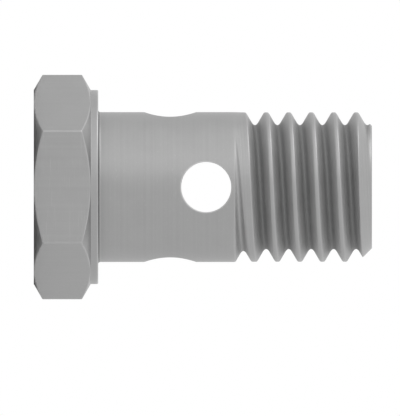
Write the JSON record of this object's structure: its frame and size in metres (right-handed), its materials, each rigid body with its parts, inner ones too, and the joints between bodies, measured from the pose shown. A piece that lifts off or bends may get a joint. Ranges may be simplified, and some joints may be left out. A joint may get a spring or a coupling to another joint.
{
  "type": "banjo bolt",
  "caption": "Hollow hexagon-head bolt with a washer face, a threaded shank, a blind axial bore and crossed side holes that feed fluid into the ring it clamps.",
  "frame": {"origin": "centre of the head's outer face, on which the bolt stands", "axes": "+Z along the bolt's axis from the head to the tip; X through two corners of the hexagon and along the cross hole nearer the head; Y along the other cross hole"},
  "size_m": [0.015, 0.013, 0.0225],
  "materials": {
    "plated_steel": "satin zinc-plated steel"
  },
  "bodies": {
    "root": {"banjo_bolt": "plated_steel"}
  },
  "joints": []
}
